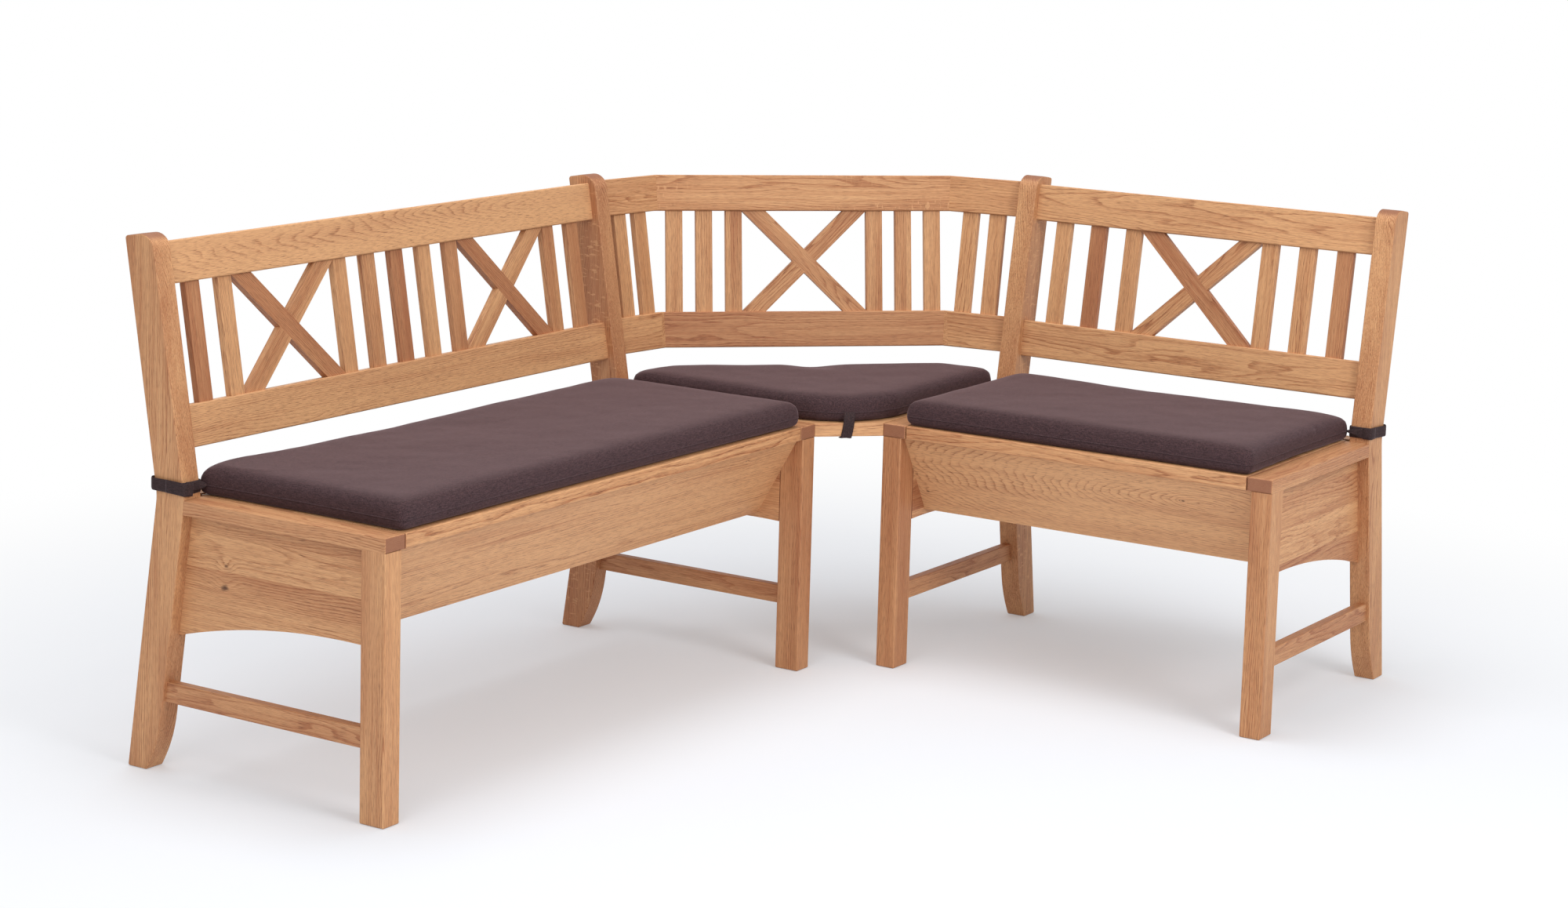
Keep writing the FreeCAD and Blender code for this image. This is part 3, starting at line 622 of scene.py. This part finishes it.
def seam_cord(name, ob, height, radius, mat):
    """The stitched edge where the side band meets the top cover, a thin cord round the cushion."""
    bm = bmesh.new()
    bm.from_mesh(ob.data)
    cut = bmesh.ops.bisect_plane(bm, geom=bm.verts[:] + bm.edges[:] + bm.faces[:],
                                 plane_co=(0, 0, height), plane_no=(0, 0, 1))["geom_cut"]
    verts = [v for v in cut if isinstance(v, bmesh.types.BMVert)]
    links = {v: [] for v in verts}
    for e in cut:
        if isinstance(e, bmesh.types.BMEdge):
            links[e.verts[0]].append(e.verts[1])
            links[e.verts[1]].append(e.verts[0])
    start = verts[0]
    path, before, here = [start.co.copy()], None, start
    while True:
        onward = [v for v in links[here] if v is not before]
        if not onward:
            break
        before, here = here, onward[0]
        if here is start:
            break
        path.append(here.co.copy())
    bm.free()
    kept = [path[0]]
    for p in path[1:]:
        if (p - kept[-1]).length > 0.004:
            kept.append(p)
    curve = bpy.data.curves.new(name, "CURVE")
    curve.dimensions = "3D"
    curve.bevel_depth = radius
    curve.bevel_resolution = 2
    sp = curve.splines.new("POLY")
    sp.points.add(len(kept) - 1)
    for q, p in zip(sp.points, kept):
        q.co = (*p, 1.0)
    sp.use_cyclic_u = True
    curve.materials.append(mat)
    tmp = bpy.data.objects.new(name, curve)
    bpy.context.scene.collection.objects.link(tmp)
    dg = bpy.context.evaluated_depsgraph_get()
    mesh = bpy.data.meshes.new_from_object(tmp.evaluated_get(dg))
    bpy.data.objects.remove(tmp)
    cord = bpy.data.objects.new(name, mesh)
    bpy.context.scene.collection.objects.link(cord)
    for f in mesh.polygons:
        f.use_smooth = True
    return cord


BASE = SEAT + 0.3
SEAM = (BASE + 17.5) / 1000
# The cover's band of painted shade lies 1 mm under the seam cord.
cover = cloth("cushion_cloth", srgb(82, 61, 64), srgb(50, 37, 39), SEAM - 0.0010)
seam_cloth = cloth("seam_cloth", srgb(86, 66, 69), srgb(56, 42, 45))
strap_cloth = cloth("strap_cloth", srgb(68, 54, 55), srgb(43, 33, 34), sheen=0.3)

long_poly = [(43.5, 4.0), (1147.5, 4.0), (1147.5, 424.0), (43.5, 424.0)]
short_poly = [(40.5, 4.0), (719.5, 4.0), (719.5, 424.0), (40.5, 424.0)]
near_edge = -GAP + 4.8
far_edge = 426.0 - 0.5
slope = math.tan(TURN)
reach = (312.5 - 0.5) * math.sqrt(2)
cx = (reach - far_edge - slope * near_edge) / (1 - slope)
cy = reach - cx
corner_poly = [(near_edge, 62), (-70, 6), (-41, -41), (6, -70), (62, near_edge),
               (far_edge, near_edge), (cy, cx), (cx, cy), (near_edge, far_edge)]

long_dents = ((LONG_START + 44, SHIFT[1] + 422, 30.0, 4.0),
              (LONG_START + 130, SHIFT[1] + 395, 62.0, -5.0),
              (LONG_START + 530, SHIFT[1] + 400, 130.0, 2.5),
              (LONG_START + 1146, SHIFT[1] + 422, 45.0, 3.0))
short_dents = ((SHIFT[0] + 422, SHORT_START - 718, 34.0, 5.0),
               (SHIFT[0] + 405, SHORT_START - 330, 150.0, 3.0),
               (SHIFT[0] + 422, SHORT_START - 42, 30.0, 2.0))
corner_dents = ((SHIFT[0] + 205, SHIFT[1] + 195, 40.0, 6.0),)
for name, poly, radius, place, body, dents in (
        ("long_cushion", long_poly, 10.0, at_long, "long_cushion", long_dents),
        ("short_cushion", short_poly, 10.0, at_short, "short_cushion", short_dents),
        ("corner_cushion", corner_poly, 24.0, at_corner, "corner_cushion", corner_dents)):
    ob = cushion_mesh(name + "_pad", poly, radius, BASE, place)
    puff(ob, BASE, dents)
    ob.data.materials.clear()
    ob.data.materials.append(cover)
    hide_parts(name)
    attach(ob, body)
    cord = seam_cord(name + "_seam", ob, SEAM, 0.0008, seam_cloth)
    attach(cord, body)


# Straps: flat bands swept along a line, with the band's width along the given directions.
def band(name, points, ups, width, thick, mat, closed=False, smooth=3):
    pts, dirs, wid = [], [], []
    n = len(points)
    w = width if isinstance(width, (list, tuple)) else [width] * n
    last = n if closed else n - 1
    for i in range(last):
        for k in range(smooth):
            f = k / smooth
            idx = [(i + o) % n if closed else min(max(i + o, 0), n - 1) for o in (-1, 0, 1, 2)]

            def spline(q):
                p0, p1, p2, p3 = (q[j] for j in idx)
                return 0.5 * ((p1 * 2) + (p2 - p0) * f + (p0 * 2 - p1 * 5 + p2 * 4 - p3) * f * f
                              + (p1 * 3 - p0 - p2 * 3 + p3) * f * f * f)

            pts.append(spline(points))
            dirs.append(spline(ups).normalized())
            wid.append(w[idx[1]] * (1 - f) + w[idx[2]] * f)
    if not closed:
        pts.append(points[-1].copy())
        dirs.append(ups[-1].normalized())
        wid.append(w[-1])
    bm = bmesh.new()
    m = len(pts)
    rings = []
    shape = [(-0.5 + a / 8, 0.5) for a in range(9)] + [(0.5 - a / 8, -0.5) for a in range(9)]
    for i in range(m):
        before = pts[i - 1] if (closed or i > 0) else pts[i]
        after = pts[(i + 1) % m] if (closed or i < m - 1) else pts[i]
        t = (after - before).normalized()
        up = (dirs[i] - t * dirs[i].dot(t)).normalized()
        out = t.cross(up)
        ring = []
        for a, b in shape:
            taper = 1.0 - 0.75 * max(0.0, abs(a) * 2 - 0.8) / 0.2
            ring.append(bm.verts.new(pts[i] + up * (a * wid[i]) + out * (b * thick * taper)))
        rings.append(ring)
    for i in range(m if closed else m - 1):
        a, b = rings[i], rings[(i + 1) % m]
        for k in range(len(shape)):
            j = (k + 1) % len(shape)
            bm.faces.new((a[k], a[j], b[j], b[k]))
    if not closed:
        bm.faces.new(list(reversed(rings[0])))
        bm.faces.new(rings[-1])
    bmesh.ops.recalc_face_normals(bm, faces=bm.faces)
    mesh = bpy.data.meshes.new(name)
    bm.to_mesh(mesh)
    bm.free()
    mesh.materials.append(mat)
    ob = bpy.data.objects.new(name, mesh)
    bpy.context.scene.collection.objects.link(ob)
    for f in mesh.polygons:
        f.use_smooth = True
    return ob


def post_front(z):
    return 408.2 + (z - SEAT) * math.tan(LEAN)


STRAP_WIDE = 20.0
STRAP_THICK = 0.0018          # in metres


def strap(side, place, flip):
    """The band round an outer post, its squared loose end, and the twisted piece that is sewn into
    the cushion's side seam."""
    onto_long = place is at_long

    def pt(e, v, z):
        return place(flip - e if flip else e, v, z)

    zf, zb = (SEAT + 17.5, SEAT + 19.5) if onto_long else (SEAT + 18.4, SEAT + 16.0)
    f, b = post_front(zf) - 1.7, post_front(zb) + 59.5 + 8.0
    loop = []
    for e, v in ((5, f), (-0.8, f + 1.5), (-1.9, f + 8), (-2.6, f + 30), (-4.6, b - 17), (-4.0, b - 7),
                 (1.5, b - 0.6), (10, b - 0.6), (22, b - 3.4), (34, b - 5.6), (39.2, b - 9), (39.7, b - 16),
                 (39.7, f + 34), (39.7, f + 8), (38.7, f + 1.5), (34, f), (19, f - 0.6)):
        share = (v - f) / (b - f)
        loop.append(pt(e, v, zf + (zb - zf) * share))
    up = Vector((0, 0, 1))
    main = band(side + "_strap_band", loop, [up] * len(loop), STRAP_WIDE / 1000, STRAP_THICK, strap_cloth,
                closed=True)
    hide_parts(side + "_cushion_strap")
    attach(main, "frame")
    if onto_long:
        over = [(-4.6, f + 34, 1.4), (-4.2, f + 16, 0.8), (-3.9, f + 5, 0.2), (-3.0, f - 1.6, -0.4),
                (1.0, f - 3.9, -1.0), (8.0, f - 4.6, -1.6), (15.0, f - 5.4, -2.2)]
        line = [(3, f - 2.2, 1.8, 19), (11, f - 2.8, 2.2, 17.5), (20, f - 3.4, 2.6, 15.5),
                (30, f - 4.4, 2.2, 13.5), (37.5, f - 5.6, 1.6, 10.5), (41.5, f - 7.0, 1.2, 6.0),
                (43.2, f - 8.8, 1.0, 1.4)]
    else:
        over = [(12, f - 3.0, 0.2), (4, f - 3.4, 0.0), (-2.2, f - 2.6, 0.0), (-4.0, f + 3.0, 0.2),
                (-4.4, f + 12.5, 0.4)]
        line = [(3, f - 2.0, -0.4, 19.6), (10, f - 2.6, -0.6, 18.5), (18, f - 3.2, -0.4, 15.5),
                (27, f - 3.6, 0.0, 11.0), (36, f - 3.6, 0.4, 7.0), (41, f - 2.4, 0.2, 4.5),
                (44.0, f - 1.0, 0.0, 3.5)]
    end = band(side + "_strap_end", [pt(e, v, zf + z) for e, v, z in over], [up] * len(over),
               (STRAP_WIDE + 0.8) / 1000, 0.0020, strap_cloth)
    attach(end, "frame")
    lean_in = []
    for k in range(len(line)):
        tip = 0.6 * (k / (len(line) - 1)) ** 2
        lean_in.append(Vector((0, tip, 1)) if onto_long else Vector((tip, 0, 1)))
    root = band(side + "_strap_root", [pt(e, v, zf + z) for e, v, z, _ in line], lean_in,
                [w / 1000 for _, _, _, w in line], STRAP_THICK, strap_cloth)
    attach(root, "frame")


strap("long", at_long, 0)
strap("short", at_short, SHORT)


# Tab of the corner cushion: sewn into the seam, over the seat's front edge and just under it.
def nose(along, out, z):
    """along the front edge of the corner seat, out in front of it, z above the floor."""
    return at_corner((along - out) / math.sqrt(2), (-out - along) / math.sqrt(2), z)


edge_out = GAP / math.sqrt(2)
tab_pts = [(1.0, edge_out - 10.0, BASE + 18.6), (0.8, edge_out - 6.0, BASE + 17.8),
           (0.4, edge_out - 2.6, BASE + 13.0), (-0.6, edge_out + 0.8, BASE + 4.0),
           (-2.2, edge_out + 1.5, SEAT - 8), (-4.2, edge_out + 1.5, SEAT - 18),
           (-5.6, edge_out + 1.4, SEAT - 24.5), (-7.0, edge_out - 2.0, SEAT - 26.0),
           (-9.5, edge_out - 8.0, SEAT - 25.6)]
tab = band("corner_tab_band", [nose(a, o, z) for a, o, z in tab_pts], [DIAG] * len(tab_pts),
           0.020, STRAP_THICK, strap_cloth)
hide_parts("corner_cushion_tab")
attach(tab, "corner_cushion")


# Floor, backdrop and light.
def studio():
    mesh = bpy.data.meshes.new("floor")
    mesh.from_pydata([(-30, -30, 0), (30, -30, 0), (30, 30, 0), (-30, 30, 0)], [], [(0, 1, 2, 3)])
    floor = bpy.data.objects.new("floor", mesh)
    floor.location.z = -0.0005
    bpy.context.scene.collection.objects.link(floor)
    s = Shader("floor_white")
    soft = s.noise(s.node("ShaderNodeTexCoord").outputs["Object"], 1.5, 2.0)
    s.put(s.bsdf.inputs["Base Color"], s.mix(soft, (0.80, 0.838, 0.905), (0.82, 0.858, 0.925)))
    s.bsdf.inputs["Roughness"].default_value = 0.8
    s.bsdf.inputs["Specular IOR Level"].default_value = 0.1
    glow = s.node("ShaderNodeEmission")
    glow.inputs["Strength"].default_value = 1.0
    ray = s.node("ShaderNodeLightPath")
    seen = s.math("MAXIMUM", ray.outputs["Is Camera Ray"],
                  s.math("MAXIMUM", ray.outputs["Is Glossy Ray"], ray.outputs["Is Transmission Ray"]))
    away = s.vec("LENGTH", s.node("ShaderNodeTexCoord").outputs["Object"])
    share = s.math("MULTIPLY", seen, s.step(away, 0.8, 2.4, 0.22, 1.0))
    blend = s.node("ShaderNodeMixShader")
    s.put(blend.inputs[0], share)
    s.put(blend.inputs[1], s.bsdf.outputs[0])
    s.put(blend.inputs[2], glow.outputs[0])
    s.put(s.out.inputs["Surface"], blend.outputs[0])
    mesh.materials.append(s.mat)
    world = bpy.data.worlds.new("studio")
    world.use_nodes = True
    bpy.context.scene.world = world
    tree = world.node_tree
    bg = tree.nodes["Background"]
    bg.inputs[0].default_value = (1.0, 0.995, 0.985, 1)
    bg.inputs[1].default_value = 0.56
    white = tree.nodes.new("ShaderNodeBackground")
    white.inputs[0].default_value = (1, 1, 1, 1)
    white.inputs[1].default_value = 1.0
    path = tree.nodes.new("ShaderNodeLightPath")
    either = tree.nodes.new("ShaderNodeMath")
    either.operation = "MAXIMUM"
    tree.links.new(path.outputs["Is Camera Ray"], either.inputs[0])
    both = tree.nodes.new("ShaderNodeMath")
    both.operation = "MAXIMUM"
    tree.links.new(path.outputs["Is Glossy Ray"], both.inputs[0])
    tree.links.new(path.outputs["Is Transmission Ray"], both.inputs[1])
    tree.links.new(both.outputs[0], either.inputs[1])
    mixer = tree.nodes.new("ShaderNodeMixShader")
    tree.links.new(either.outputs[0], mixer.inputs[0])
    tree.links.new(bg.outputs[0], mixer.inputs[1])
    tree.links.new(white.outputs[0], mixer.inputs[2])
    tree.links.new(mixer.outputs[0], tree.nodes["World Output"].inputs[0])
    for name, at, to, size, power, tint in (
            ("key", (-1.0, -3.7, 3.0), (-0.2, 0.1, 0.4), 2.2, 84.0, (1.0, 0.985, 0.965)),
            ("fill", (-3.5, -0.7, 2.6), (0.0, 0.0, 0.4), 2.6, 34.0, (1.0, 0.99, 0.98)),
            ("top", (0.0, 0.6, 4.0), (0.0, 0.1, 0.4), 2.4, 58.0, (1.0, 1.0, 1.0))):
        data = bpy.data.lights.new(name, "AREA")
        data.shape = "DISK"
        data.size = size
        data.energy = power
        data.color = tint
        lamp = bpy.data.objects.new(name, data)
        lamp.location = at
        lamp.rotation_mode = "QUATERNION"
        lamp.rotation_quaternion = (Vector(to) - Vector(at)).to_track_quat("-Z", "Y")
        bpy.context.scene.collection.objects.link(lamp)


studio()
bpy.context.scene.view_settings.view_transform = "Standard"
